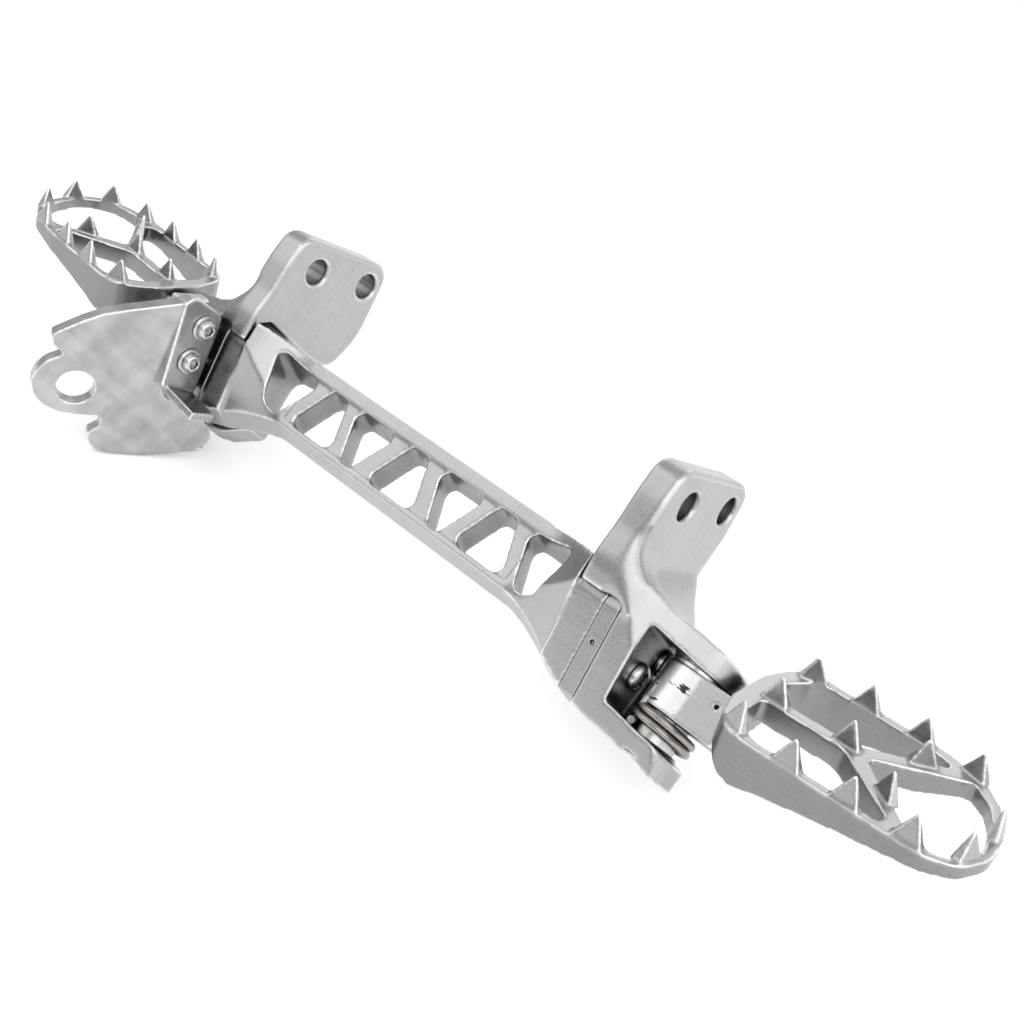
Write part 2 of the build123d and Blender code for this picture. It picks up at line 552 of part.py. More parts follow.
# Side stand plate with pivot lug, screwed to the left bracket
BAR_ROOM = ((-7.6, 11.5), (-38.1, 0.4), (-39.8, -12.2), (-39.8, -40.0), (30.0, -40.0), (30.0, 11.5))
SHELF_TOP = Plane(origin=(FLANGE_X, -40.4, -53.8), x_dir=(1, 0, -0.19), z_dir=(0.18, 0.33, 0.93))
with BuildPart() as stand_plate:
    with BuildSketch(PLATE) as outline:
        add(rounded(PLATE_OUTLINE, 9, 1.6, 50))
        with Locations(LUG_SPOT):
            Circle(LUG_HOLE_R, mode=Mode.SUBTRACT)
    extrude(amount=-PLATE_T)
    with BuildSketch(FLANGE) as tab:
        Polygon(*FLANGE_OUTLINE, align=None)
        fillet(tab.vertices(), 1.2)
    extrude(amount=-PLATE_T)
    with BuildSketch(FLANGE):
        with Locations((-46, -30)):
            Rectangle(100, 100)
    extrude(amount=20, mode=Mode.SUBTRACT)
    bends = stand_plate.edges().filter_by(lambda e: abs((e @ 0).X - FLANGE_X) + abs((e @ 1).X - FLANGE_X) < 0.002)
    bends = bends.filter_by(lambda e: max(abs(PLATE.to_local_coords(e @ t).Z) for t in (0, 1)) < 0.001)
    fillet(bends, PLATE_BEND)
    with BuildSketch(SHELF_TOP):
        Polygon((-2.0, -1.0), (14.8, 0.0), (16.4, -13.8), (-2.0, -15.0), align=None)
    extrude(amount=-SHELF_T)
    with BuildSketch(FLANGE):
        with Locations(*FLANGE_SPOTS):
            Circle(FLANGE_BORE_R)
    extrude(amount=-3 * PLATE_T, mode=Mode.SUBTRACT)
    with BuildSketch(CROSS.offset(-BLOCK_IN - 0.4)):
        Polygon(*BAR_ROOM, align=None)
    extrude(amount=30, mode=Mode.SUBTRACT)
stand_plate.part.label = "stand_plate"

with BuildPart() as stand_washers:
    with BuildSketch(FLANGE.offset(JOINT_GAP)):
        with Locations(*FLANGE_SPOTS):
            Circle(STAND_WASHER_R)
            Circle(STAND_SCREW_R + 0.2, mode=Mode.SUBTRACT)
    extrude(amount=STAND_WASHER_T)
stand_washers.part.label = "stand_washers"

with BuildPart() as stand_screws:
    with BuildSketch(FLANGE.offset(2 * JOINT_GAP + STAND_WASHER_T)):
        with Locations(*FLANGE_SPOTS):
            Circle(STAND_HEAD_R)
    extrude(amount=STAND_HEAD_H)
    chamfer(stand_screws.faces().sort_by(Axis.X)[-2:].edges(), 0.6)
    with BuildSketch(FLANGE.offset(2 * JOINT_GAP + STAND_WASHER_T + STAND_HEAD_H)):
        with Locations(*FLANGE_SPOTS):
            RegularPolygon(2.9, 6)
    extrude(amount=-1.8, mode=Mode.SUBTRACT)
    with BuildSketch(FLANGE.offset(2 * JOINT_GAP + STAND_WASHER_T)):
        with Locations(*FLANGE_SPOTS):
            Circle(STAND_SCREW_R)
    extrude(amount=-20)
stand_screws.part.label = "stand_screws"

os.makedirs("parts", exist_ok=True)
NODES = (
    crossbar, right_spacer, left_spacer, right_bracket, left_bracket, right_clamp_screws, left_clamp_screws,
    right_pivot_bolt, left_pivot_bolt, right_dowel, left_dowel, right_thrust_washer, left_thrust_washer,
    right_spring_sleeve, left_spring_sleeve, right_bush, left_bush, right_spring, left_spring, right_peg, left_peg,
    stand_plate, stand_screws, stand_washers,
)
for piece in NODES:
    print(piece.part.label, round(piece.part.volume), len(piece.part.solids()))
    export_step(piece.part, "parts/" + piece.part.label + ".step")
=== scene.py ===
"""Motorcycle footpeg bar: finishes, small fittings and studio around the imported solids.

Sizes of the object are in millimetres until MM turns them into Blender's metres; the studio's are in
metres. The bar leans back by BAR_TILT, so places on it are given as (u, v, w): u to the bike's right,
v up the bar's face, w out of it. A piece named "*_milled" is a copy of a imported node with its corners
broken.
"""

import logging
import math
from dataclasses import dataclass, field
from enum import Enum
from typing import Any

import bmesh
import bpy
import numpy as np
from mathutils import Matrix, Vector

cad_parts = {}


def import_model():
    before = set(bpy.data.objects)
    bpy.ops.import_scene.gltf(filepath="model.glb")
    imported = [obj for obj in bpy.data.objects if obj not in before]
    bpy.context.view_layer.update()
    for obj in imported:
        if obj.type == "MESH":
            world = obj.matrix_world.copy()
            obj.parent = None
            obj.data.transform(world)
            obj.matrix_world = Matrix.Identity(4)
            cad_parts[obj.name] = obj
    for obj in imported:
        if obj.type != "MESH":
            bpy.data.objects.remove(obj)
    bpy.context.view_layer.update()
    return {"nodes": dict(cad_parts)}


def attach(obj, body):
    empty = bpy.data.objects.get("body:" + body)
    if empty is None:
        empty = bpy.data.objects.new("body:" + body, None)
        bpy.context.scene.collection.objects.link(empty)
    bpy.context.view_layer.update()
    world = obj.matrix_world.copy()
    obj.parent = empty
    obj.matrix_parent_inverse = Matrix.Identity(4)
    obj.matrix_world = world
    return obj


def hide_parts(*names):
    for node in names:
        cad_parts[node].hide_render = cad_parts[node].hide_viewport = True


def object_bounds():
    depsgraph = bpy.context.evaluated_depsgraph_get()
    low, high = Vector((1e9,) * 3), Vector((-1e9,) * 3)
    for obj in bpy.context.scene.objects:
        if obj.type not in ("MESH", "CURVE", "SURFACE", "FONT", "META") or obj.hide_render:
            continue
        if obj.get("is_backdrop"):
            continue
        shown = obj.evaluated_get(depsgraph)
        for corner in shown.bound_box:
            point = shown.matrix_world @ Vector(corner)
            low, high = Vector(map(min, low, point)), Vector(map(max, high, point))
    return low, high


LOG = logging.getLogger("footpeg_bar")

MM = 0.001
BAR_TILT = math.radians(52.7)
BAR_ORIGIN_MM = (0.0, -16.94, -29.9)
UP_BAR = Vector((0.0, math.cos(BAR_TILT), math.sin(BAR_TILT)))
OUT_BAR = Vector((0.0, -math.sin(BAR_TILT), math.cos(BAR_TILT)))
PIN_U = 133.0
PIN_W = -11.5

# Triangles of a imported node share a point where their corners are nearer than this.
WELD_MM = 0.002
# Fittings stand off their seats by this, so that no two faces coincide.
PROUD_MM = 0.05
# Turned pieces keep a sharp edge where faces meet at more than this.
SHARP_DEG = 32.0

Tree = bpy.types.NodeTree
Output = bpy.types.NodeSocket


class Side(Enum):
    """The bike's two sides, with the sign of X on each."""

    RIGHT = 1
    LEFT = -1

    @property
    def word(self) -> str:
        """The side's name as the solids use it."""
        return self.name.lower()


class Socket(Enum):
    """How a screw's drive is cut."""

    HEX = 6
    ROUND = 0


def bar_point(u: float, v: float, w: float) -> Vector:
    """Turns a place on the bar into the shared frame.

    Args:
        u: millimetres to the bike's right.
        v: millimetres up the bar's face.
        w: millimetres out of the bar's face.

    Returns:
        The same place in metres.
    """
    return (Vector(BAR_ORIGIN_MM) + Vector((u, 0.0, 0.0)) + UP_BAR * v + OUT_BAR * w) * MM


def linear(colour: str) -> tuple[float, float, float, float]:
    """Turns an sRGB hex colour into the linear values that Blender mixes.

    Args:
        colour: six hex digits.

    Returns:
        Red, green, blue and an alpha of one.
    """
    parts = [int(colour[i : i + 2], 16) / 255 for i in (0, 2, 4)]
    # The curve of the sRGB standard.
    made = [c / 12.92 if c <= 0.04045 else ((c + 0.055) / 1.055) ** 2.4 for c in parts]
    return (made[0], made[1], made[2], 1.0)


def add_node(
    tree: Tree, kind: str, inputs: dict[Any, Any] | None = None, **settings: Any
) -> bpy.types.Node:
    """Adds one node with its settings, values and links.

    Args:
        tree: the tree that gets the node.
        kind: Blender's name for the node.
        inputs: socket name or number to a value, or to the output socket that feeds it.
        settings: the node's own properties.

    Returns:
        The new node.
    """
    node = tree.nodes.new(kind)
    for name, value in settings.items():
        setattr(node, name, value)
    for key, value in (inputs or {}).items():
        if isinstance(value, bpy.types.NodeSocket):
            tree.links.new(value, node.inputs[key])
        else:
            node.inputs[key].default_value = value
    return node


def add_object(name: str, data: bpy.types.ID) -> bpy.types.Object:
    """Makes an object and puts it in the scene.

    Args:
        name: the object's name.
        data: its mesh, camera or lamp.

    Returns:
        The object, at the origin.
    """
    made = bpy.data.objects.new(name, data)
    bpy.context.scene.collection.objects.link(made)
    return made


# ---------------------------------------------------------------- finishes


@dataclass(frozen=True)
class BrushedMetal:
    """A bare metal face, milled, then rubbed by hand with short crossing strokes.

    The strokes are coarser than real grit marks, so that they show at the size of the picture. Each
    span is the pair of values between which its effect sets in or fades.
    """

    name: str = "brushed_aluminium"
    colour: str = "C2C2C4"
    shade: str = "A0A0A3"
    # The colour of edges and outer corners: partly rubbed metal, partly a painted highlight.
    edge: str = "F6F6F7"
    scuff: str = "4A4A4C"
    roughness: float = 0.3
    rough_span: tuple[float, float] = (-0.05, 0.07)
    scuff_rough: float = 0.25
    stroke_mm: tuple[float, float] = (9.0, 0.32)
    stroke_span: tuple[float, float] = (0.36, 0.66)
    stroke_share: float = 0.7
    cloud_mm: float = 16.0
    cloud_share: float = 0.5
    bump_mm: float = 0.02
    bump_share: float = 0.35
    edge_mm: float = 0.5
    bevel_span: tuple[float, float] = (0.995, 0.93)
    bevel_share: float = 0.75
    wear_span: tuple[float, float] = (0.12, 0.6)
    wear_share: float = 0.95
    # Painted shade: these darken recesses and inner corners.
    grime_mm: float = 7.0
    grime_tone: float = 0.35
    grime_deep: float = 0.12
    grime_open: float = 0.62
    corner_span: tuple[float, float] = (-0.9, -0.1)
    corner_tone: float = 0.72

    def strokes(self, tree: Tree, place: Output, axis: int) -> Output:
        """Draws the brush marks that run along one axis.

        Args:
            tree: the material's tree.
            place: the coordinates, in metres.
            axis: 0, 1 or 2 for marks along x, y or z.

        Returns:
            A value from nought to one.
        """
        long, thin = (1 / (s * MM) for s in self.stroke_mm)
        stretch = [long if i == axis else thin for i in range(3)]
        squeezed = add_node(tree, "ShaderNodeMapping", {"Vector": place, "Scale": stretch}).outputs[0]
        noise = {"Vector": squeezed, "Scale": 1.0, "Detail": 2.0}
        noise = add_node(tree, "ShaderNodeTexNoise", noise).outputs[0]
        low, high = self.stroke_span
        ramp = {"Value": noise, "From Min": low, "From Max": high}
        return add_node(tree, "ShaderNodeMapRange", ramp).outputs[0]

    def hatch(self, tree: Tree, place: Output) -> Output:
        """Crosses the two runs of marks that lie in each face and leaves out the one that pierces it.

        Args:
            tree: the material's tree.
            place: coordinates turned to the bar, in metres.

        Returns:
            A value from nought to one.
        """
        runs = [self.strokes(tree, place, axis) for axis in range(3)]
        marks = add_node(tree, "ShaderNodeCombineXYZ", dict(enumerate(runs))).outputs[0]
        facing = add_node(tree, "ShaderNodeTexCoord").outputs["Normal"]
        turned = {"Vector": facing, "Rotation": (-BAR_TILT, 0, 0)}
        facing = add_node(tree, "ShaderNodeMapping", turned, vector_type="VECTOR").outputs[0]
        share = {0: facing, 1: facing}
        share = add_node(tree, "ShaderNodeVectorMath", share, operation="MULTIPLY").outputs[0]
        share = {0: (1, 1, 1), 1: share}
        share = add_node(tree, "ShaderNodeVectorMath", share, operation="SUBTRACT").outputs[0]
        both = {0: marks, 1: share}
        both = add_node(tree, "ShaderNodeVectorMath", both, operation="DOT_PRODUCT").outputs["Value"]
        return add_node(tree, "ShaderNodeMath", {0: both, 1: 0.5}, operation="MULTIPLY").outputs[0]

    def rubbed(self, tree: Tree, place: Output, brushed: Output) -> Output:
        """Mixes the two tones of the rubbed face, by its strokes and by broad clouds.

        Args:
            tree: the material's tree.
            place: coordinates turned to the bar, in metres.
            brushed: the strokes.

        Returns:
            The face's colour.
        """
        cloud = {"Vector": place, "Scale": 1 / (self.cloud_mm * MM), "Detail": 3.0}
        cloud = add_node(tree, "ShaderNodeTexNoise", cloud).outputs[0]
        tone = {0: brushed, 1: self.stroke_share}
        tone = add_node(tree, "ShaderNodeMath", tone, operation="MULTIPLY").outputs[0]
        tone = {0: cloud, 1: self.cloud_share, 2: tone}
        tone = add_node(tree, "ShaderNodeMath", tone, operation="MULTIPLY_ADD").outputs[0]
        tones = {"Factor": tone, "A": linear(self.shade), "B": linear(self.colour)}
        return add_node(tree, "ShaderNodeMix", tones, data_type="RGBA").outputs["Result"]

    def bare(self, tree: Tree, place: Output, face: Output) -> Output:
        """Paints light and shade into the face's colour by which way it faces, if this finish does so.

        Args:
            tree: the material's tree.
            place: coordinates turned to the bar, in metres.
            face: the rubbed colour.

        Returns:
            The colour of the whole surface.
        """
        return face

    def worn(self, tree: Tree, rounded: Output, wear: Output) -> Output:
        """Finds the edges and outer corners that are painted bright: partly metal rubbed bright by hands
        and cloths, partly a painted highlight along every edge.

        Args:
            tree: the material's tree.
            rounded: the normal that the surface would have with its edges rounded.
            wear: the mesh's own measure, one on outer corners.

        Returns:
            A mask from nought to one.
        """
        flat = add_node(tree, "ShaderNodeNewGeometry").outputs["Normal"]
        bend = {0: rounded, 1: flat}
        bend = add_node(tree, "ShaderNodeVectorMath", bend, operation="DOT_PRODUCT").outputs["Value"]
        none, full = self.bevel_span
        edge = {"Value": bend, "From Min": none, "From Max": full, "To Max": self.bevel_share}
        edge = add_node(tree, "ShaderNodeMapRange", edge).outputs[0]
        none, full = self.wear_span
        corner = {"Value": wear, "From Min": none, "From Max": full, "To Max": self.wear_share}
        corner = add_node(tree, "ShaderNodeMapRange", corner).outputs[0]
        return add_node(tree, "ShaderNodeMath", {0: edge, 1: corner}, operation="MAXIMUM").outputs[0]

    def clean(self, tree: Tree, wear: Output) -> Output:
        """Paints shade into recesses, which little of the room's light reaches, and into inner corners.

        Args:
            tree: the material's tree.
            wear: the mesh's own measure, less than nought in inner corners.

        Returns:
            One in the open, less where shade is painted.
        """
        around = {"Distance": self.grime_mm * MM}
        air = add_node(tree, "ShaderNodeAmbientOcclusion", around, samples=6).outputs["AO"]
        air = {"Value": air, "From Min": self.grime_deep, "From Max": self.grime_open}
        air = add_node(tree, "ShaderNodeMapRange", air | {"To Min": self.grime_tone}).outputs[0]
        full, none = self.corner_span
        corner = {"Value": wear, "From Min": full, "From Max": none, "To Min": self.corner_tone}
        corner = add_node(tree, "ShaderNodeMapRange", corner).outputs[0]
        return add_node(tree, "ShaderNodeMath", {0: air, 1: corner}, operation="MULTIPLY").outputs[0]

    def marks(self, tree: Tree, place: Output) -> Output | None:
        """Draws dark scuffs, if this finish has any.

        Args:
            tree: the material's tree.
            place: coordinates turned to the bar, in metres.

        Returns:
            A mask from nought to one, or None.
        """
        return None

    def build(self) -> bpy.types.Material:
        """Makes the material.

        Returns:
            The material, on Object coordinates and the mesh's own "wear".
        """
        material = bpy.data.materials.new(self.name)
        material.use_nodes = True
        tree = material.node_tree
        tree.nodes.clear()
        here = add_node(tree, "ShaderNodeTexCoord").outputs["Object"]
        turned = {"Vector": here, "Rotation": (-BAR_TILT, 0, 0)}
        place = add_node(tree, "ShaderNodeMapping", turned).outputs[0]
        brushed = self.hatch(tree, place)
        face = self.bare(tree, place, self.rubbed(tree, place, brushed))
        rounded = add_node(tree, "ShaderNodeBevel", {"Radius": self.edge_mm * MM}, samples=4).outputs[0]
        wear = add_node(tree, "ShaderNodeAttribute", attribute_name="wear").outputs["Fac"]
        # Edges and outer corners take the edge colour: partly rubbed metal, partly a painted highlight.
        colour = {"Factor": self.worn(tree, rounded, wear), "A": face, "B": linear(self.edge)}
        colour = add_node(tree, "ShaderNodeMix", colour, data_type="RGBA").outputs["Result"]
        # Painted shade darkens recesses and inner corners.
        colour = {"Vector": colour, "Scale": self.clean(tree, wear)}
        colour = add_node(tree, "ShaderNodeVectorMath", colour, operation="SCALE").outputs[0]
        low, high = (self.roughness + change for change in self.rough_span)
        rough = add_node(tree, "ShaderNodeMapRange", {"Value": brushed, "To Min": low, "To Max": high})
        rough = rough.outputs[0]
        scuffs = self.marks(tree, place)
        if scuffs is not None:
            colour = {"Factor": scuffs, "A": colour, "B": linear(self.scuff)}
            colour = add_node(tree, "ShaderNodeMix", colour, data_type="RGBA").outputs["Result"]
            rough = {0: scuffs, 1: self.scuff_rough, 2: rough}
            rough = add_node(tree, "ShaderNodeMath", rough, operation="MULTIPLY_ADD").outputs[0]
        relief = {"Height": brushed, "Strength": self.bump_share, "Distance": self.bump_mm * MM}
        relief = add_node(tree, "ShaderNodeBump", relief | {"Normal": rounded}).outputs[0]
        skin = {"Base Color": colour, "Metallic": 1.0, "Roughness": rough, "Normal": relief}
        skin = add_node(tree, "ShaderNodeBsdfPrincipled", skin).outputs[0]
        add_node(tree, "ShaderNodeOutputMaterial", {"Surface": skin})
        return material


@dataclass(frozen=True)
class ScuffedPegMetal(BrushedMetal):
    """The pegs' aluminium, with the dark scuffs that the spring and the ears leave on the hinge barrel,
    painted shade on its upright walls and painted light on the barrel.
    """

    name: str = "scuffed_aluminium"
    barrel_r_mm: float = 12.0
    barrel_v_mm: tuple[float, float] = (-24.4, -7.7)
    # Painted light: this brightens the hinge barrel.
    barrel_tone: float = 1.75
    side_fade_mm: float = 0.6
    end_fade_mm: tuple[float, float] = (0.2, -1.5)
    # Painted shade: these darken the upright walls.
    wall_tone: float = 0.55
    wall_span: tuple[float, float] = (0.0, 0.35)
    scuff_mm: tuple[float, float] = (11.0, 3.2)
    scuff_span: tuple[float, float] = (0.6, 0.615)

    def bare(self, tree: Tree, place: Output, face: Output) -> Output:
        """Paints shade on the upright walls and paints light onto the hinge barrel, which its pocket
        shades.

        Args:
            tree: the material's tree.
            place: coordinates turned to the bar, in metres.
            face: the rubbed colour.

        Returns:
            The colour of the whole surface.
        """
        facing = add_node(tree, "ShaderNodeTexCoord").outputs["Normal"]
        up = add_node(tree, "ShaderNodeSeparateXYZ", {0: facing}).outputs[2]
        low, high = self.wall_span
        share = {"Value": up, "From Min": low, "From Max": high, "To Min": self.wall_tone}
        share = add_node(tree, "ShaderNodeMapRange", share).outputs[0]
        # Painted light on the barrel, painted shade on the walls.
        tone = {"Factor": self.barrel(tree, place), "A": share, "B": self.barrel_tone}
        tone = add_node(tree, "ShaderNodeMix", tone, data_type="FLOAT").outputs["Result"]
        toned = {"Vector": face, "Scale": tone}
        return add_node(tree, "ShaderNodeVectorMath", toned, operation="SCALE").outputs[0]

    def barrel(self, tree: Tree, place: Output) -> Output:
        """Finds the hinge barrels of both sides.

        Args:
            tree: the material's tree.
            place: coordinates turned to the bar, in metres.

        Returns:
            One on the barrels and nought elsewhere.
        """
        origin = bar_point(0, 0, 0)
        low, high = self.barrel_v_mm
        centre_v = origin.dot(UP_BAR) + (low + high) / 2 * MM
        centre_w = origin.dot(OUT_BAR) + PIN_W * MM
        u, v, w = add_node(tree, "ShaderNodeSeparateXYZ", {0: place}).outputs
        across = add_node(tree, "ShaderNodeMath", {0: u}, operation="ABSOLUTE").outputs[0]
        across = {0: across, 1: PIN_U * MM}
        across = add_node(tree, "ShaderNodeMath", across, operation="SUBTRACT").outputs[0]
        out = add_node(tree, "ShaderNodeMath", {0: w, 1: centre_w}, operation="SUBTRACT").outputs[0]
        plan = add_node(tree, "ShaderNodeCombineXYZ", {0: across, 1: out}).outputs[0]
        radius = add_node(tree, "ShaderNodeVectorMath", {0: plan}, operation="LENGTH").outputs["Value"]
        rim = self.barrel_r_mm
        near = {"Value": radius, "From Min": (rim + self.side_fade_mm) * MM, "From Max": rim * MM}
        near = add_node(tree, "ShaderNodeMapRange", near).outputs[0]
        along = add_node(tree, "ShaderNodeMath", {0: v, 1: centre_v}, operation="SUBTRACT").outputs[0]
        along = add_node(tree, "ShaderNodeMath", {0: along}, operation="ABSOLUTE").outputs[0]
        none, full = (((high - low) / 2 + fade) * MM for fade in self.end_fade_mm)
        inside = {"Value": along, "From Min": none, "From Max": full}
        inside = add_node(tree, "ShaderNodeMapRange", inside).outputs[0]
        return add_node(tree, "ShaderNodeMath", {0: near, 1: inside}, operation="MULTIPLY").outputs[0]

    def marks(self, tree: Tree, place: Output) -> Output:
        """Draws ragged scuffs that run round the hinge barrel on both sides.

        Args:
            tree: the material's tree.
            place: coordinates turned to the bar, in metres.

        Returns:
            A mask from nought to one.
        """
        long, thin = (1 / (s * MM) for s in self.scuff_mm)
        ragged = {"Vector": place, "Scale": (long, thin, long)}
        ragged = {"Vector": add_node(tree, "ShaderNodeMapping", ragged).outputs[0], "Scale": 1.0}
        ragged |= {"Detail": 5.0, "Roughness": 0.62, "Distortion": 0.5}
        noise = add_node(tree, "ShaderNodeTexNoise", ragged).outputs[0]
        none, full = self.scuff_span
        cut = {"Value": noise, "From Min": none, "From Max": full}
        cut = add_node(tree, "ShaderNodeMapRange", cut).outputs[0]
        both = {0: self.barrel(tree, place), 1: cut}
        return add_node(tree, "ShaderNodeMath", both, operation="MULTIPLY").outputs[0]


@dataclass(frozen=True)
class StudioFloor:
    """Matt white paper: it gives a plain pale ground that still takes the object's shadow."""

    name: str = "white_paper"
    colour: str = "F4F4F4"
    lift: float = 0.34
    fibre_per_m: float = 900.0
    fibre_high_mm: float = 0.1
    fibre_share: float = 0.05

    def build(self) -> bpy.types.Material:
        """Makes the material, a little lifted where the camera sees it.

        Returns:
            The material.
        """
        material = bpy.data.materials.new(self.name)
        material.use_nodes = True
        tree = material.node_tree
        tree.nodes.clear()
        here = add_node(tree, "ShaderNodeTexCoord").outputs["Object"]
        fibre = {"Vector": here, "Scale": self.fibre_per_m, "Detail": 2.0}
        fibre = add_node(tree, "ShaderNodeTexNoise", fibre).outputs[0]
        bump = {"Height": fibre, "Strength": self.fibre_share, "Distance": self.fibre_high_mm * MM}
        bump = add_node(tree, "ShaderNodeBump", bump).outputs[0]
        paper = {"Color": linear(self.colour), "Normal": bump}
        paper = add_node(tree, "ShaderNodeBsdfDiffuse", paper).outputs[0]
        rays = add_node(tree, "ShaderNodeLightPath").outputs
        mirror = {0: rays["Is Glossy Ray"], 1: rays["Is Transmission Ray"]}
        mirror = add_node(tree, "ShaderNodeMath", mirror, operation="MAXIMUM").outputs[0]
        seen = {0: rays["Is Camera Ray"], 1: mirror}
        seen = add_node(tree, "ShaderNodeMath", seen, operation="MAXIMUM").outputs[0]
        seen = add_node(tree, "ShaderNodeMath", {0: seen, 1: self.lift}, operation="MULTIPLY").outputs[0]
        glow = {"Color": (1, 1, 1, 1), "Strength": seen}
        glow = add_node(tree, "ShaderNodeEmission", glow).outputs[0]
        both = add_node(tree, "ShaderNodeAddShader", {0: paper, 1: glow}).outputs[0]
        add_node(tree, "ShaderNodeOutputMaterial", {"Surface": both})
        return material


@dataclass
class Finishes:
    """Every finish of the object, made once and shared by its pieces."""

    aluminium: bpy.types.Material = field(init=False)
    pocketed: bpy.types.Material = field(init=False)
    soft_aluminium: bpy.types.Material = field(init=False)
    sheet: bpy.types.Material = field(init=False)
    peg_metal: bpy.types.Material = field(init=False)
    steel: bpy.types.Material = field(init=False)
    screw_steel: bpy.types.Material = field(init=False)
    bronze: bpy.types.Material = field(init=False)

    def __post_init__(self) -> None:
        """Builds the materials."""
        # Machined aluminium, rubbed by hand.
        self.aluminium = BrushedMetal(colour="BABABC", shade="9A9A9D").build()
        # The same metal on the bar, with more painted shade deep in its pockets.
        self.pocketed = BrushedMetal(
            name="pocketed_aluminium",
            colour="BEBEC0",
            shade="9C9C9F",
            grime_mm=22.0,
            grime_tone=0.2,
            grime_open=0.92,
        ).build()
        # The brackets' corners are broken wider than the bar's, and their yokes get more painted shade.
        self.soft_aluminium = BrushedMetal(
            name="soft_edged_aluminium",
            colour="BABABC",
            shade="9A9A9D",
            edge_mm=1.1,
            grime_mm=14.0,
            grime_tone=0.15,
        ).build()
        # Rolled sheet, rubbed in broad cloudy strokes.
        self.sheet = BrushedMetal(
            name="rubbed_sheet", colour="CACACC", shade="8C8C90", stroke_mm=(38.0, 7.0), cloud_mm=48.0
        ).build()
        # The pegs' aluminium: painted shade on the upright walls, painted light on the hinge barrel, with
        # scuffs.
        self.peg_metal = ScuffedPegMetal().build()
        # Drawn spring wire: darker and warmer than the bar, with draw marks along it.
        self.steel = BrushedMetal(
            name="spring_wire",
            colour="AFAAA4",
            shade="8C8782",
            roughness=0.26,
            stroke_mm=(4.0, 0.25),
            edge_mm=0.1,
        ).build()
        # Turned stainless steel: brighter and smoother than the milled faces.
        self.screw_steel = BrushedMetal(
            name="turned_stainless",
            colour="DAD9D7",
            shade="C2C1BF",
            roughness=0.24,
            stroke_mm=(3.0, 0.2),
            edge_mm=0.25,
        ).build()
        # Sintered bronze: brown-gold and grainy.
        self.bronze = BrushedMetal(
            name="bearing_bronze",
            colour="B08D57",
            shade="8E6E40",
            edge="D8BE8C",
            roughness=0.38,
            stroke_mm=(1.0, 0.4),
        ).build()


# ---------------------------------------------------------------- corners that a cutter leaves


@dataclass(frozen=True)
class Softening:
    """How the corners of a milled part are broken and its inner corners left round by the cutter.

    The copy is made of even small faces, which are then relaxed: a few passes everywhere for the
    edges, and many more round the places where the real part flows from one face into another.
    """

    grain_mm: float
    passes: int
    flows: tuple[tuple[Vector, float], ...] = ()
    flow_passes: int = 260
    flow_core: float = 1.6
    relax: float = 0.5
    wear_mm: float = 0.26

    def melt(self, maker: bpy.types.Object) -> None:
        """Weighs the points near each flowing place, full in its core and nought at its reach.

        Args:
            maker: the object whose mesh gets the weights.
        """
        group = maker.vertex_groups.new(name="flow")
        points = self.read(maker.data, "co")
        weight = np.zeros(len(points))
        for centre, reach in self.flows:
            far = np.linalg.norm(points - np.array(centre), axis=1)
            weight = np.maximum(weight, np.minimum(1.0, self.flow_core * (1.0 - far / reach)))
        for index in np.flatnonzero(weight > 0.0):
            group.add([int(index)], float(weight[index]), "REPLACE")

    @staticmethod
    def read(mesh: bpy.types.Mesh, what: str) -> np.ndarray:
        """Reads a vector of every point of a mesh.

        Args:
            mesh: the mesh.
            what: "co" or "normal".

        Returns:
            One row a point.
        """
        flat = np.empty(len(mesh.vertices) * 3, dtype=np.float32)
        mesh.vertices.foreach_get(what, flat)
        return flat.reshape(-1, 3).astype(float)

    @staticmethod
    def bake(maker: bpy.types.Object) -> bpy.types.Mesh:
        """Applies the modifiers of an object and takes them off.

        Args:
            maker: the object.

        Returns:
            Its finished mesh, which it then uses.
        """
        graph = bpy.context.evaluated_depsgraph_get()
        made = bpy.data.meshes.new_from_object(maker.evaluated_get(graph))
        maker.modifiers.clear()
        maker.data = made
        return made

    def build(self, node: bpy.types.Object, name: str) -> bpy.types.Object:
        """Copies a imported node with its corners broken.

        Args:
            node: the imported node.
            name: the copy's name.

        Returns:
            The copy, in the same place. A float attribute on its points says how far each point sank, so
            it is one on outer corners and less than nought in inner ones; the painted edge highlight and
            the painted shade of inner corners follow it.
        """
        shape = bmesh.new()
        shape.from_mesh(node.data)
        bmesh.ops.remove_doubles(shape, verts=shape.verts[:], dist=WELD_MM * MM)
        mesh = bpy.data.meshes.new(name)
        shape.to_mesh(mesh)
        shape.free()
        maker = add_object(name, mesh)
        grain = maker.modifiers.new("grain", "REMESH")
        grain.mode = "VOXEL"
        grain.voxel_size = self.grain_mm * MM
        even = self.bake(maker)
        if self.flows:
            self.melt(maker)
            flow = maker.modifiers.new("flow", "SMOOTH")
            flow.factor, flow.iterations, flow.vertex_group = self.relax, self.flow_passes, "flow"
            even = self.bake(maker)
            maker.vertex_groups.clear()
        before, outward = self.read(even, "co"), self.read(even, "normal")
        relax = maker.modifiers.new("relax", "SMOOTH")
        relax.factor, relax.iterations = self.relax, self.passes
        soft = self.bake(maker)
        # How far each point sank: it steers the painted edge highlight and the painted shade of inner
        # corners.
        sunk = -np.einsum("ij,ij->i", self.read(soft, "co") - before, outward) / (self.wear_mm * MM)
        wear = soft.attributes.new("wear", "FLOAT", "POINT")
        wear.data.foreach_set("value", sunk.clip(-1, 1).astype(np.float32))
        soft.name = name
        soft.materials.clear()
        soft.shade_smooth()
        return maker


def dress(node: bpy.types.Object, material: bpy.types.Material) -> None:
    """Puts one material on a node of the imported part.

    Args:
        node: the node's object.
        material: its finish.
    """
    node.data.materials.clear()
    node.data.materials.append(material)


# ---------------------------------------------------------------- shapes that repeat


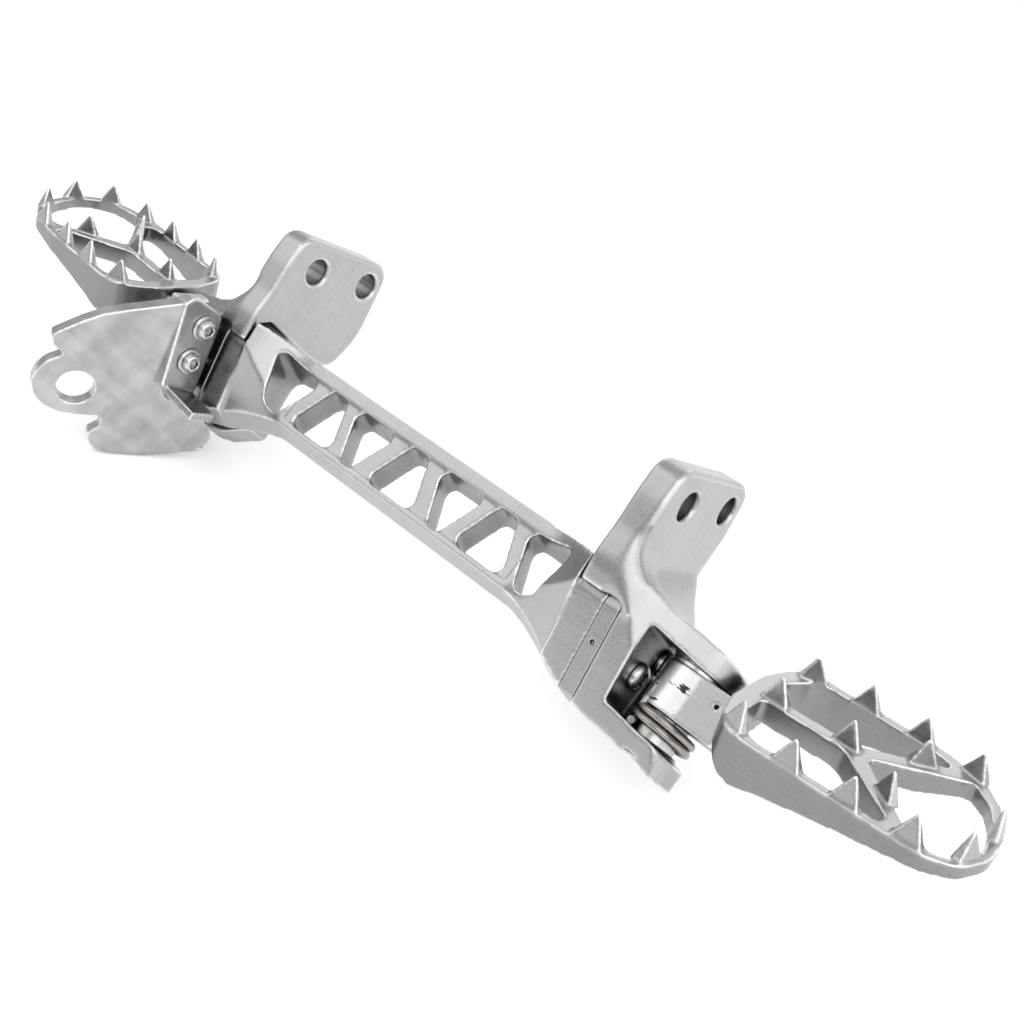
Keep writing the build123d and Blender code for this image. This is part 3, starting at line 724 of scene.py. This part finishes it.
class ShapeTree:
    """A Geometry Nodes tree made in the script, baked to a plain mesh."""

    def __init__(self, name: str, sizes: dict[str, Any]) -> None:
        """Starts the tree.

        Args:
            name: the tree's name.
            sizes: each named input with its value, a float, a vector or an object.
        """
        self.sizes = sizes
        self.tree = bpy.data.node_groups.new(name, "GeometryNodeTree")
        self.tree.interface.new_socket("Geometry", in_out="INPUT", socket_type="NodeSocketGeometry")
        self.tree.interface.new_socket("Geometry", in_out="OUTPUT", socket_type="NodeSocketGeometry")
        self.keys: dict[str, str] = {}
        for label, value in sizes.items():
            kind = "NodeSocketFloat"
            if isinstance(value, bpy.types.Object):
                kind = "NodeSocketObject"
            elif isinstance(value, Vector):
                kind = "NodeSocketVector"
            made = self.tree.interface.new_socket(label, in_out="INPUT", socket_type=kind)
            self.keys[label] = made.identifier
        self.given = self.tree.nodes.new("NodeGroupInput")

    def size(self, label: str) -> Output:
        """The output socket of a named input."""
        return self.given.outputs[label]

    def add(self, kind: str, inputs: dict[Any, Any] | None = None, **settings: Any) -> bpy.types.Node:
        """Adds one node to the tree."""
        return add_node(self.tree, kind, inputs, **settings)

    def bake(
        self,
        name: str,
        start: bpy.types.Mesh,
        result: Output,
        finish: bpy.types.Material,
        place: Matrix,
    ) -> bpy.types.Object:
        """Closes the tree, evaluates it and keeps the result as a plain mesh.

        Args:
            name: the piece's name.
            start: the mesh that the tree works on.
            result: the socket that holds the shape.
            finish: the material of the piece.
            place: where the shape goes in the shared frame.

        Returns:
            The piece, with its place in its mesh.
        """
        real = self.add("GeometryNodeRealizeInstances", {0: result})
        dressed = self.add("GeometryNodeSetMaterial", {"Geometry": real.outputs[0], "Material": finish})
        end = self.tree.nodes.new("NodeGroupOutput")
        self.tree.links.new(dressed.outputs[0], end.inputs[0])
        maker = add_object(name + "_maker", start)
        modifier = maker.modifiers.new("shape", "NODES")
        modifier.node_group = self.tree
        for label, value in self.sizes.items():
            modifier[self.keys[label]] = tuple(value) if isinstance(value, Vector) else value
        graph = bpy.context.evaluated_depsgraph_get()
        mesh = bpy.data.meshes.new_from_object(maker.evaluated_get(graph))
        maker.modifiers.clear()
        bpy.data.objects.remove(maker)
        mesh.name = name
        mesh.transform(place)
        return add_object(name, mesh)


def frame_at(origin: Vector, x_axis: Vector, z_axis: Vector) -> Matrix:
    """A placing matrix from a point and two directions at right angles.

    Args:
        origin: where the shape's own origin goes, in metres.
        x_axis: direction of the shape's x.
        z_axis: direction of the shape's z.

    Returns:
        The matrix.
    """
    y_axis = z_axis.cross(x_axis)
    made = Matrix((x_axis, y_axis, z_axis)).transposed().to_4x4()
    made.translation = origin
    return made


def turned_mesh(name: str, rows: list[tuple[float, float, Socket]], steps: int = 48) -> bpy.types.Mesh:
    """Turns a profile about z, with round or hexagonal rows, closed at both ends.

    Args:
        name: the mesh's name.
        rows: radius or half width over the flats, height, both in millimetres, and the row's outline.
        steps: points round each row, a multiple of six.

    Returns:
        A closed mesh with sharp edges marked.
    """
    shape = bmesh.new()
    rings = []
    for radius, height, outline in rows:
        ring = []
        for i in range(steps):
            angle = 2 * math.pi * i / steps
            reach = radius * MM
            if outline is Socket.HEX:
                reach /= math.cos((angle + math.pi / 6) % (math.pi / 3) - math.pi / 6)
            ring.append(shape.verts.new((reach * math.cos(angle), reach * math.sin(angle), height * MM)))
        rings.append(ring)
    for low, high in zip(rings, rings[1:]):
        for i in range(steps):
            j = (i + 1) % steps
            shape.faces.new((low[i], low[j], high[j], high[i]))
    shape.faces.new(list(reversed(rings[0])))
    shape.faces.new(rings[-1])
    bmesh.ops.recalc_face_normals(shape, faces=shape.faces[:])
    for face in shape.faces:
        face.smooth = True
    for line in shape.edges:
        line.smooth = line.calc_face_angle(0.0) < math.radians(SHARP_DEG)
    mesh = bpy.data.meshes.new(name)
    shape.to_mesh(mesh)
    shape.free()
    return mesh


@dataclass
class TurnedSet:
    """Equal turned pieces in a row of places, all facing one way, set out by Geometry Nodes."""

    name: str

    def rows(self) -> list[tuple[float, float, Socket]]:
        """The piece's profile, as turned_mesh takes it."""
        raise NotImplementedError

    def build(self, spots: list[Vector], facing: Vector, finish: bpy.types.Material) -> bpy.types.Object:
        """Sets the pieces out.

        Args:
            spots: where each one sits, in metres.
            facing: the way they face.
            finish: their material.

        Returns:
            One object with every piece of the set.
        """
        label = self.name + "_pattern"
        pattern = add_object(label, turned_mesh(label, self.rows()))
        made = ShapeTree(self.name, {"Pattern": pattern, "Facing": facing})
        points = made.add("GeometryNodeMeshToPoints", {"Mesh": made.given.outputs["Geometry"]})
        shown = made.add("GeometryNodeObjectInfo", {"Object": made.size("Pattern")})
        turn = {"Vector": made.size("Facing")}
        turn = made.add("FunctionNodeAlignRotationToVector", turn, axis="Z").outputs[0]
        row = {"Points": points.outputs[0], "Instance": shown.outputs["Geometry"], "Rotation": turn}
        row = made.add("GeometryNodeInstanceOnPoints", row).outputs[0]
        start = bpy.data.meshes.new(self.name + "_spots")
        start.from_pydata([tuple(s) for s in spots], [], [])
        piece = made.bake(self.name, start, row, finish, Matrix.Identity(4))
        bpy.data.objects.remove(pattern)
        return piece


@dataclass
class ScrewSet(TurnedSet):
    """Screws with a domed head and a hexagonal socket."""

    head_r: float
    head_h: float
    socket_half: float
    socket_deep: float
    shank_r: float
    shank_l: float
    lip: float = 0.35
    broken: float = 0.25
    rim_share: float = 1.2
    dome_steps: int = 6
    drill_r: float = 0.3
    drill_deep: float = 0.5

    def rows(self) -> list[tuple[float, float, Socket]]:
        """The screw's profile, from the shank's end over the domed head into its socket."""
        rows = [(self.shank_r, -self.shank_l), (self.shank_r, 0.0)]
        rows += [(self.head_r - self.broken, 0.0), (self.head_r, self.broken)]
        rim = self.socket_half * self.rim_share
        low = self.head_h * self.lip
        for i in range(self.dome_steps + 1):
            t = math.pi / 2 * i / self.dome_steps
            radius = rim + (self.head_r - rim) * math.cos(t)
            rows.append((radius, low + (self.head_h - low) * math.sin(t)))
        floor = self.head_h - self.socket_deep
        drive = [(self.socket_half, h, Socket.HEX) for h in (self.head_h - self.broken, floor)]
        drill = (self.drill_r, floor - self.drill_deep, Socket.ROUND)
        return [(*row, Socket.ROUND) for row in rows] + drive + [drill]


@dataclass
class WasherSet(TurnedSet):
    """Flat washers. Each hole is closed, because the screw fills it."""

    outer_r: float
    thick: float
    inner_r: float = 3.2
    broken: float = 0.3

    def rows(self) -> list[tuple[float, float, Socket]]:
        """The washer's profile, from its seat over its rim to its top."""
        face = self.outer_r - self.broken
        rows = [(self.inner_r, 0.0), (face, 0.0), (self.outer_r, self.broken)]
        rows += [(self.outer_r, self.thick - self.broken), (face, self.thick), (self.inner_r, self.thick)]
        return [(*row, Socket.ROUND) for row in rows]


@dataclass
class ReturnSpring:
    """The wire coil that folds a peg back down, with a short straight leg at its upper end."""

    side: Side
    wire: float = 2.8
    coil_r: float = 10.9
    turns: float = 2.0
    pitch: float = 2.9
    start_v: float = -26.1
    leg: float = 3.4
    leg_turn_deg: float = 130.0
    steps: int = 72
    section_steps: int = 20

    def build(self, finish: bpy.types.Material) -> bpy.types.Object:
        """Winds the coil round the hinge pin.

        Args:
            finish: the wire's material.

        Returns:
            The spring.
        """
        sizes = {
            "Turns": self.turns,
            "Radius": self.coil_r * MM,
            "Length": self.pitch * self.turns * MM,
            "Wire": self.wire / 2 * MM,
            "Leg end": Vector((self.coil_r * MM, 0.0, -self.leg * MM)),
            "Leg root": Vector((self.coil_r * MM, 0.0, 0.0)),
        }
        name = f"{self.side.word}_spring_wire"
        made = ShapeTree(name, sizes)
        around = {"Resolution": self.steps, "Rotations": made.size("Turns"), "Height": made.size("Length")}
        around |= {"Start Radius": made.size("Radius"), "End Radius": made.size("Radius")}
        coil = made.add("GeometryNodeCurveSpiral", around).outputs[0]
        leg = {"Start": made.size("Leg end"), "End": made.size("Leg root")}
        leg = made.add("GeometryNodeCurvePrimitiveLine", leg).outputs[0]
        both = made.add("GeometryNodeJoinGeometry")
        for curve in (coil, leg):
            made.tree.links.new(curve, both.inputs[0])
        section = {"Resolution": self.section_steps, "Radius": made.size("Wire")}
        section = made.add("GeometryNodeCurvePrimitiveCircle", section).outputs[0]
        wire = {"Curve": both.outputs[0], "Profile Curve": section, "Fill Caps": True}
        wire = made.add("GeometryNodeCurveToMesh", wire).outputs[0]
        smooth = made.add("GeometryNodeSetShadeSmooth", {0: wire})
        empty = bpy.data.meshes.new(name + "_start")
        turn = math.radians(self.leg_turn_deg)
        across = Vector((self.side.value * math.cos(turn), 0.0, 0.0)) + OUT_BAR * math.sin(turn)
        origin = bar_point(PIN_U * self.side.value, self.start_v, PIN_W)
        return made.bake(name, empty, smooth.outputs[0], finish, frame_at(origin, across, -UP_BAR))


# ---------------------------------------------------------------- the object's sub-assemblies


@dataclass
class SubAssembly:
    """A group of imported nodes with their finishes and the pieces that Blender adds."""

    nodes: dict[str, bpy.types.Object]
    finishes: Finishes

    def dress_nodes(self, names: list[str], finish: bpy.types.Material) -> None:
        """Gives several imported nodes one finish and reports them.

        Args:
            names: the nodes' names.
            finish: their material.
        """
        for name in names:
            dress(self.nodes[name], finish)
            LOG.info("%s: %s", name, finish.name)

    def refine(self, name: str, body: str, finish: bpy.types.Material, soft: Softening) -> None:
        """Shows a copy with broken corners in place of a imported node.

        Args:
            name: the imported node.
            body: the body that it belongs to.
            finish: its material.
            soft: how its corners are broken.
        """
        copy = soft.build(self.nodes[name], f"{name}_milled")
        dress(copy, finish)
        self.keep(copy, body, "machined_aluminium", name)

    def keep(self, piece: bpy.types.Object, body: str, slot: str, stands_for: str) -> None:
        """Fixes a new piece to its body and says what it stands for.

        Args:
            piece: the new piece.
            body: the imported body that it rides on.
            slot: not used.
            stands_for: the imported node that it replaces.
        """
        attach(piece, body)
        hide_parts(stands_for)
        LOG.info("%s rides on %s and stands for %s", piece.name, body, stands_for)


@dataclass
class Crossbar(SubAssembly):
    """The pocketed bar and the plates between its ends and the brackets."""

    def build(self) -> None:
        """Dresses the bar's nodes."""
        self.refine("crossbar", "bar", self.finishes.pocketed, Softening(grain_mm=0.6, passes=9))
        for name in ("right_spacer", "left_spacer"):
            self.refine(name, "bar", self.finishes.aluminium, Softening(grain_mm=0.32, passes=5))
        self.dress_nodes(["right_dowel", "left_dowel"], self.finishes.screw_steel)


@dataclass(frozen=True)
class FlowRun:
    """A row of places where two faces of a bracket run into each other, as the right side has them."""

    start: tuple[float, float, float]
    step: tuple[float, float, float]
    count: int
    reach: float

    def places(self, side: Side) -> list[tuple[Vector, float]]:
        """Sets the row out.

        Args:
            side: the bracket's side.

        Returns:
            Each place in the shared frame with its reach, in metres.
        """
        made = []
        for i in range(self.count):
            u, v, w = (first + change * i for first, change in zip(self.start, self.step))
            made.append((bar_point(u * side.value, v, w), self.reach * MM))
        return made


@dataclass
class PegMount(SubAssembly):
    """One side's bracket with its clamp screws and everything on the hinge pin."""

    side: Side
    wall_u: float = 116.8
    clamp_spots: tuple[tuple[float, float], ...] = ((-19.5, -7.5), (-10.6, -18.5))
    # The crease of the arm's gusset, its lower end, and the arm's foot on the block.
    flow_runs: tuple[FlowRun, ...] = (
        FlowRun((104.6, 26.5, -32.0), (0.6, -2.6, 7.0), 6, 13.0),
        FlowRun((107.5, 21.0, -34.0), (0.0, -2.0, 8.0), 4, 11.0),
        FlowRun((104.8, -3.5, 16.4), (0.0, 3.0, 0.0), 7, 7.6),
    )

    def build(self) -> None:
        """Dresses the bracket, sets its clamp screws and winds its spring."""
        word = self.side.word
        finishes = self.finishes
        flows = tuple(place for run in self.flow_runs for place in run.places(self.side))
        soft = Softening(grain_mm=0.55, passes=9, flows=flows)
        self.refine(f"{word}_bracket", "bar", finishes.soft_aluminium, soft)
        turned = [f"{word}_pivot_bolt", f"{word}_thrust_washer", f"{word}_spring_sleeve"]
        self.dress_nodes(turned, finishes.screw_steel)
        self.dress_nodes([f"{word}_bush"], finishes.bronze)
        outward = Vector((self.side.value, 0.0, 0.0))
        wall = (self.wall_u + PROUD_MM) * self.side.value
        screws = ScrewSet(
            f"{word}_button_screws",
            head_r=5.0,
            head_h=2.8,
            socket_half=2.3,
            socket_deep=1.8,
            shank_r=3.95,
            shank_l=29.0,
        )
        spots = [bar_point(wall, v, w) for v, w in self.clamp_spots]
        made = screws.build(spots, outward, finishes.screw_steel)
        self.keep(made, "bar", "stainless_steel", f"{word}_clamp_screws")
        spring = ReturnSpring(self.side).build(finishes.steel)
        self.keep(spring, "bar", "spring_steel", f"{word}_spring")


@dataclass
class FootPeg(SubAssembly):
    """One toothed peg, a single milled piece with its hinge barrel."""

    side: Side

    def build(self) -> None:
        """Dresses the peg."""
        name = f"{self.side.word}_peg"
        self.refine(name, f"{name}_body", self.finishes.peg_metal, Softening(grain_mm=0.44, passes=12))


@dataclass
class StandPlate(SubAssembly):
    """The side-stand plate with its two screws and washers."""

    flange_x: float = -100.5
    spots: tuple[tuple[float, float], ...] = ((-41.9, -25.5), (-46.3, -39.1))
    washer_t: float = 1.3

    def build(self) -> None:
        """Dresses the plate and sets its screws and washers."""
        self.refine("stand_plate", "bar", self.finishes.sheet, Softening(grain_mm=0.45, passes=11))
        seat = self.flange_x + PROUD_MM
        washers = WasherSet("stand_washer_set", outer_r=5.2, thick=self.washer_t)
        self.fasten(washers, seat, "stand_washers")
        screws = ScrewSet(
            "stand_screw_set",
            head_r=3.8,
            head_h=2.6,
            socket_half=1.8,
            socket_deep=1.7,
            shank_r=2.95,
            shank_l=18.0,
            lip=0.5,
        )
        self.fasten(screws, seat + self.washer_t + PROUD_MM, "stand_screws")

    def fasten(self, fittings: TurnedSet, seat: float, node: str) -> None:
        """Sets one fitting at each screw's place.

        Args:
            fittings: the set.
            seat: the x that they sit on, in millimetres.
            node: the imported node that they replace.
        """
        places = [Vector((seat, y, z)) * MM for y, z in self.spots]
        made = fittings.build(places, Vector((1.0, 0.0, 0.0)), self.finishes.screw_steel)
        self.keep(made, "bar", "stainless_steel", node)


# ---------------------------------------------------------------- studio


@dataclass(frozen=True)
class Lamp:
    """One far, wide soft lamp, which lights all of the room alike.

    It stands towards a direction from the object, looks so many degrees wide from there, and its level
    is its brightness where one is white.
    """

    name: str
    towards: tuple[float, float, float]
    width_deg: float
    level: float

    def build(self) -> None:
        """Sets the lamp, turned to the object."""
        data = bpy.data.lights.new(self.name, "SUN")
        data.angle = math.radians(self.width_deg)
        data.energy = self.level * math.pi * math.sin(data.angle / 2) ** 2
        lamp = add_object(self.name, data)
        lamp.location = Vector(self.towards)
        lamp.rotation_mode = "QUATERNION"
        lamp.rotation_quaternion = (-Vector(self.towards)).to_track_quat("-Z", "Y")


@dataclass
class Studio:
    """White paper, a soft sky with a bright back wall, four wide lamps and the photograph's camera."""

    floor_half: float = 6.0
    floor_gap: float = 0.0005
    sensor_mm: float = 36.0
    focal_px: float = 1338.659
    picture_px: float = 1024.0
    sight: tuple[float, float] = (0.01, 50.0)
    eye_mm: tuple[float, float, float] = (281.8, -358.7, 178.6)
    right: tuple[float, float, float] = (0.708, 0.652, 0.271)
    down: tuple[float, float, float] = (0.492, -0.180, -0.852)
    sky_low: float = 0.36
    sky_high: float = 0.75
    sky_span: tuple[float, float] = (-0.2, 0.8)
    back_wall: float = 1.0
    back_span: tuple[float, float] = (0.2, 0.8)
    lamps: tuple[Lamp, ...] = (
        Lamp("lamp_left", (-0.62, -0.50, 0.60), 46.0, 0.8),
        Lamp("lamp_back", (-0.45, 0.75, 0.50), 40.0, 0.5),
        Lamp("lamp_front", (0.40, -0.64, 0.66), 42.0, 1.4),
        Lamp("lamp_right", (0.88, -0.05, 0.42), 66.0, 1.0),
    )

    def build_camera(self) -> None:
        """Stands the camera where the photograph was taken."""
        data = bpy.data.cameras.new("camera")
        data.sensor_width = self.sensor_mm
        data.lens = self.focal_px / self.picture_px * data.sensor_width
        data.clip_start, data.clip_end = self.sight
        camera = add_object("camera", data)
        x_axis = Vector(self.right).normalized()
        y_axis = -(Vector(self.down) - x_axis * x_axis.dot(Vector(self.down))).normalized()
        camera.matrix_world = frame_at(Vector(self.eye_mm) * MM, x_axis, x_axis.cross(y_axis))
        bpy.context.scene.camera = camera

    def build_floor(self) -> None:
        """Lays the paper just under the object."""
        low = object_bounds()[0].z - self.floor_gap
        half = self.floor_half
        mesh = bpy.data.meshes.new("paper_floor")
        corners = [(-half, -half, low), (half, -half, low), (half, half, low), (-half, half, low)]
        mesh.from_pydata(corners, [], [(0, 1, 2, 3)])
        mesh.materials.append(StudioFloor().build())
        add_object("paper_floor", mesh)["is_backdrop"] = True

    def build_sky(self) -> None:
        """Lights the room evenly, brighter from above, and shows plain white to the camera."""
        world = bpy.data.worlds.new("studio")
        bpy.context.scene.world = world
        world.use_nodes = True
        tree = world.node_tree
        tree.nodes.clear()
        way = add_node(tree, "ShaderNodeTexCoord").outputs["Generated"]
        _, depth, height = add_node(tree, "ShaderNodeSeparateXYZ", {0: way}).outputs
        low, high = self.sky_span
        level = {"Value": height, "From Min": low, "From Max": high}
        level |= {"To Min": self.sky_low, "To Max": self.sky_high}
        level = add_node(tree, "ShaderNodeMapRange", level, interpolation_type="SMOOTHSTEP").outputs[0]
        low, high = self.back_span
        wall = {"Value": depth, "From Min": low, "From Max": high, "To Max": self.back_wall}
        wall = add_node(tree, "ShaderNodeMapRange", wall, interpolation_type="SMOOTHSTEP").outputs[0]
        level = add_node(tree, "ShaderNodeMath", {0: level, 1: wall}, operation="MAXIMUM").outputs[0]
        rays = add_node(tree, "ShaderNodeLightPath").outputs
        seen = {0: rays["Is Camera Ray"], 1: rays["Is Transmission Ray"]}
        seen = add_node(tree, "ShaderNodeMath", seen, operation="MAXIMUM").outputs[0]
        strength = {"Factor": seen, "A": level, "B": 1.0}
        strength = add_node(tree, "ShaderNodeMix", strength, data_type="FLOAT").outputs["Result"]
        glow = {"Color": (1, 1, 1, 1), "Strength": strength}
        glow = add_node(tree, "ShaderNodeBackground", glow).outputs[0]
        add_node(tree, "ShaderNodeOutputWorld", {"Surface": glow})

    def build(self) -> None:
        """Builds the whole studio."""
        bpy.context.scene.view_settings.view_transform = "Standard"
        self.build_camera()
        self.build_floor()
        self.build_sky()
        for lamp in self.lamps:
            lamp.build()


def main() -> None:
    """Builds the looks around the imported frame."""
    logging.basicConfig(level=logging.INFO, format="%(name)s: %(message)s")
    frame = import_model()
    finishes = Finishes()
    nodes = frame["nodes"]
    Crossbar(nodes, finishes).build()
    for side in Side:
        PegMount(nodes, finishes, side).build()
        FootPeg(nodes, finishes, side).build()
    StandPlate(nodes, finishes).build()
    Studio().build()


if __name__ == "__main__":
    main()
